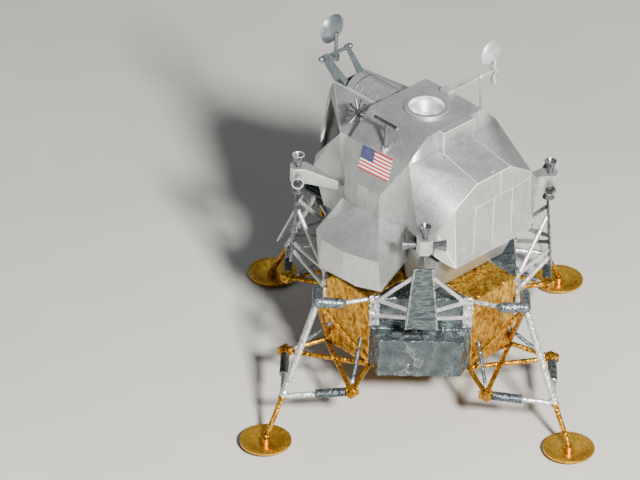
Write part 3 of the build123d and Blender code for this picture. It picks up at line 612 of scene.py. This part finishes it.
def softened(name, width, sharpest=9.0, finish=None, worn="silver_worn", parts=None,
             rounded=None, chamfer=None):
    """Replaces a node by a copy with slightly rounded edges, whose paint along them is lighter: worn
    thin, and a painted highlight.

    rounded(place) gives the angle below which a crease there is smoothed over, if more than
    the sharpest, and chamfer(edge) says which edges are cut first.
    """
    made = node_mesh(name)
    bmesh.ops.dissolve_limit(made, angle_limit=math.radians(flat_angle), verts=made.verts,
                             edges=made.edges)
    if chamfer:
        bmesh.ops.bevel(made, geom=[edge for edge in made.edges if chamfer(edge)],
                        offset=corner_cut * MM, segments=1, affect="EDGES", clamp_overlap=True)
    # The bevels take the worn finish: wear and a painted highlight along the edges.
    used = [finish or slots[name], worn]
    if parts:
        used += parts.finishes
        for face in made.faces:
            kind = parts(face.calc_center_median() / MM)
            face.material_index = kind + 1 if kind else 0
    weight = made.edges.layers.float.new("bevel_weight_edge")
    for edge in made.edges:
        middle = (edge.verts[0].co + edge.verts[1].co) / (2 * MM)
        least = max(sharpest, rounded(middle)) if rounded else sharpest
        if math.degrees(edge.calc_face_angle(0.0)) > least:
            edge[weight] = 1.0 if edge.is_convex else 0.0
            edge.smooth = edge.is_convex
    item = new_piece("shell_" + name, made, carrier[name], used)
    settle(item, ("BEVEL", {"width": width * MM, "segments": 2, "limit_method": "WEIGHT",
                            "material": 1, "use_clamp_overlap": True}))
    for face in item.data.polygons:
        face.use_smooth = True
    settle(item, ("WEIGHTED_NORMAL", {"keep_sharp": True, "weight": normal_weight}))
    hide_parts(name)


# The fairing's rounded part, in mm, and the steepest crease that it smooths over, in degrees
fairing_front, fairing_floor = 20.0, 85.0
fairing_inner, fairing_outer = 12.0, 28.3
sweep_crease, side_crease = 36.0, 25.0


def fairing_creases(place):
    """The fairings' upper faces run into each other in one rounded sweep."""
    side = abs(place.x)
    if place.y <= fairing_front or place.z <= fairing_floor or side <= fairing_inner:
        return 0.0
    return sweep_crease if side < fairing_outer else side_crease


softened("midsection", 0.22, rounded=fairing_creases)
for name in ("crew_cabin", "aft_equipment_bay", "fuel_tank_cover", "oxidizer_tank_cover"):
    softened(name, 0.22)
softened("front_hatch", 0.12, 30.0)
for name, _ in legs:
    # The pads' rounded rims take the lighter gold paint: wear and a painted highlight.
    softened("footpad_" + name, 0.26, 30.0, "pad_gold", "gold_paint")


# Docking ring: silver flange, bright bowl

bowl_top, bowl_radius = 127.6, 7.6


def bowl_parts(place):
    """The bowl inside the flange has its own finish."""
    return 1 if place.z < bowl_top and math.hypot(place.x, place.y) < bowl_radius else 0


softened("docking_ring", 0.08, 30.0, parts=Parts(["bright_silver"], bowl_parts))


# Small antenna on the shoulder: dark mast, pale socket

socket_top = 119.2


def mast_parts(place):
    """The socket at the mast's foot has its own finish."""
    return 1 if place.z < socket_top else 0


softened("t_antenna", 0.06, 50.0, worn="steel_dark", parts=Parts(["white_silver"], mast_parts))


# Thruster clusters: silver housings with cut corners and dark nozzles

# Middle of a housing, half its width, and how far inward its nozzles may start, in mm
cluster_reach, cluster_height, cluster_half = 52.0, 93.9, 3.25
side_margin, top_margin, nozzles_from = 0.05, 0.1, -3.2
# Band in which its outer corners stand, and the least height of one, in mm
corner_inner, corner_outer, corner_height = 3.1, 3.4, 5


def cluster_place(place, turn):
    """Distances from the housing's middle: outward, sideways and up, in mm."""
    local = turned(place, turn)
    return outward(local) - cluster_reach, sideways(local), abs(local.z - cluster_height)


def nozzle_rule(turn):
    """What stands out of that housing's sides, top and bottom is a nozzle."""
    def rule(place):
        out, side, rise = cluster_place(place * MM, turn)
        outside = side > cluster_half + side_margin or rise > cluster_half + top_margin
        return 1 if outside and out > nozzles_from else 0
    return rule


def corner_rule(turn):
    """The upright edges at that housing's two outer corners."""
    def rule(edge):
        spots = [cluster_place(point.co, turn) for point in edge.verts]
        height = abs(edge.verts[0].co.z - edge.verts[1].co.z)
        return height > corner_height * MM and all(
            out > corner_inner and corner_inner < side < corner_outer for out, side, _ in spots)
    return rule


for name, turn in quarters:
    softened("thruster_cluster_" + name, 0.12, 35.0,
             parts=Parts(["steel_dark"], nozzle_rule(turn)), chamfer=corner_rule(turn))


# Thin trim laid on the shells

# How far a line is followed, the step along a strip and how deep it sits, in mm
search_reach, strip_step, sunk = 8, 0.8, 0.05
strip_taper = 0.7


class Surface:
    """Nodes' faces that thin trim is laid on."""

    def __init__(self, *names):
        self.trees = [BVHTree.FromPolygons([point.co for point in cad[name].data.vertices],
                                           [face.vertices for face in cad[name].data.polygons])
                      for name in names]

    def meet(self, place, toward):
        """Where a line from that place, in mm, first meets the surface, and which way it faces."""
        best = None
        for tree in self.trees:
            start = (place - toward * search_reach) * MM
            where, normal, _, far = tree.ray_cast(start, toward, 2 * search_reach * MM)
            if where and (best is None or far < best[2]):
                best = (where / MM, normal if normal.dot(toward) < 0 else -normal, far)
        return best[:2] if best else None


def joined(made, rings):
    """Faces between neighbouring cross-sections of four points each."""
    for near, far in zip(rings, rings[1:]):
        for k in range(3):
            made.faces.new((near[k], near[k + 1], far[k + 1], far[k]))


def laid(made, surface, ends, toward, width, high):
    """A thin raised strip along a line between points, pressed on the surface."""
    toward = Vector(toward).normalized()
    rings = []
    for start, end in zip(ends, ends[1:]):
        start, end = Vector(start), Vector(end)
        count = max(1, round((end - start).length / strip_step))
        for k in range(count + 1):
            met = surface.meet(start.lerp(end, k / count), toward)
            if not met:
                continue
            where, normal = met
            across = (end - start).cross(normal).normalized() * (width / 2)
            low, top = where - normal * sunk, where + normal * high
            rings.append([made.verts.new(spot * MM) for spot in
                          (low - across, top - across * strip_taper,
                           top + across * strip_taper, low + across)])
    joined(made, rings)
    for ring, order in ((rings[0], (3, 2, 1, 0)), (rings[-1], (0, 1, 2, 3))):
        made.faces.new([ring[k] for k in order])


rear_face = Surface("aft_equipment_bay")
into_rear = (0, -1, 0)
rear_depth = 42
seam_width, seam_rise = 0.26, 0.07
# Panel seams on the rear face, columns: start and end as distance across and height, in mm
rear_seams = [
    ((-22.3, 102.3), (10.7, 101.6)),
    ((-10.9, 102.3), (-10.4, 81.0)),
    ((-0.3, 102.1), (0.9, 80.5)),
    ((10.7, 101.6), (11.9, 79.8)),
    ((-3.9, 112.3), (-3.8, 102.3)),
]
seams = bmesh.new()
for (x0, z0), (x1, z1) in rear_seams:
    laid(seams, rear_face, [(x0, rear_depth, z0), (x1, rear_depth, z1)], into_rear,
         seam_width, seam_rise)
# Drops of glue, columns: place in mm and radius
glue_drops = [
    ((-0.8, 37.7, 113.05), 0.36),
    ((-2.3, 18.95, 119.1), 0.3),
    ((-25.1, 38.2, 96.6), 0.34),
    ((17.4, 40.55, 85.1), 0.42),
]
flattened = Matrix.Diagonal((1, 0.45, 0.8, 1))
for spot, radius in glue_drops:
    bmesh.ops.create_icosphere(seams, subdivisions=2, radius=radius * MM,
                               matrix=Matrix.Translation(Vector(spot) * MM) @ flattened)
# Seams and glue drops take the light edge paint: wear and a painted highlight.
new_piece("rear_seams", seams, "ascent_stage", "silver_worn")

# Rings round the tunnel, columns: place along the tunnel, width and height in mm, and finish
tunnel_axis, tunnel_radius = 117.7, 8.6
tunnel_half_angle, tunnel_step = 55, 5
tunnel_rings = [
    (23.0, 0.5, 0.03, "silver"),
    (27.9, 0.5, 0.03, "silver"),
    (31.6, 0.5, 0.03, "silver"),
    (34.9, 0.7, 0.10, "steel_dark"),
    (17.5, 0.8, 0.10, "steel_dark"),
]
for number, (forward, width, high, finish) in enumerate(tunnel_rings):
    ring = bmesh.new()
    profile = ((-width / 2, -sunk), (-width / 3, high), (width / 3, high), (width / 2, -sunk))
    rows = []
    for angle in range(-tunnel_half_angle, tunnel_half_angle + 1, tunnel_step):
        a = math.radians(angle)
        row = []
        for across, lift in profile:
            r = tunnel_radius + lift
            spot = Vector((r * math.sin(a), -forward + across, tunnel_axis + r * math.cos(a)))
            row.append(ring.verts.new(spot * MM))
        rows.append(row)
    joined(ring, rows)
    new_piece(f"tunnel_ring_{number + 1}", ring, "ascent_stage", finish)


# Flag on the left shoulder of the midsection

# Corners, size, and how far the film and the stars on it lie under and over the shell, in mm
flag_corners = [(26.36, -9.51, 115.4), (26.09, 7.14, 116.19),
                (29.08, 7.04, 106.6), (29.26, -9.6, 106.06)]
flag_size = (16.8, 9.9)
film_under, film_top, star_under, star_top = -0.10, 0.09, 0.08, 0.11
flag_stripes, canton_stripes, canton_share = 13, 7, 0.42
star_rows, star_columns = 9, 11
star_points, star_radius, star_waist = 5, 0.15, 0.42
red, white, blue = 0, 1, 2


def facet_frame(corners):
    """Middle, across, up and outward directions of a flat panel from its four corners, in mm."""
    top_left, top_right, low_right, low_left = (Vector(corner) for corner in corners)
    across = ((top_right - top_left) + (low_right - low_left)).normalized()
    up = (top_left + top_right) - (low_left + low_right)
    up = (up - across * up.dot(across)).normalized()
    middle = (top_left + top_right + low_right + low_left) / 4
    return middle, across, up, across.cross(up)


def plate(made, panel, outline, low, high, kind):
    """A thin raised plate with that outline on a panel, all in mm."""
    middle, across, up, out = panel
    rings = [[made.verts.new((middle + across * x + up * y + out * lift) * MM) for x, y in outline]
             for lift in (low, high)]
    faces = [made.faces.new(rings[1]), made.faces.new(list(reversed(rings[0])))]
    for k in range(len(outline)):
        near = (k + 1) % len(outline)
        faces.append(made.faces.new((rings[0][k], rings[0][near], rings[1][near], rings[1][k])))
    for face in faces:
        face.material_index = kind


def oblong(left, right, low, high):
    """Corners of an upright oblong."""
    return [(left, low), (right, low), (right, high), (left, high)]


panel = facet_frame(flag_corners)
flag = bmesh.new()
half_wide, half_tall = flag_size[0] / 2, flag_size[1] / 2
stripe = flag_size[1] / flag_stripes
canton_right = -half_wide + flag_size[0] * canton_share
for k in range(flag_stripes):
    top = half_tall - k * stripe
    left = canton_right if k < canton_stripes else -half_wide
    plate(flag, panel, oblong(left, half_wide, top - stripe, top), film_under, film_top,
          red if k % 2 == 0 else white)
canton_low = half_tall - canton_stripes * stripe
plate(flag, panel, oblong(-half_wide, canton_right, canton_low, half_tall),
      film_under, film_top, blue)
for row in range(star_rows):
    for column in range(row % 2, star_columns, 2):
        x = -half_wide + (canton_right + half_wide) * (column + 1) / (star_columns + 1)
        y = canton_low + (half_tall - canton_low) * (row + 1) / (star_rows + 1)
        points = []
        for k in range(2 * star_points):
            a = math.radians(90 + 180 * k / star_points)
            r = star_radius if k % 2 == 0 else star_radius * star_waist
            points.append((x + r * math.cos(a), y + r * math.sin(a)))
        plate(flag, panel, points, star_under, star_top, white)
new_piece("flag", flag, "ascent_stage", ["flag_red", "flag_white", "flag_blue"], smooth=False)


# Finishes of the nodes that show as they are

for name, item in cad.items():
    item.data.materials.clear()
    item.data.materials.append(finishes[slots[name]])
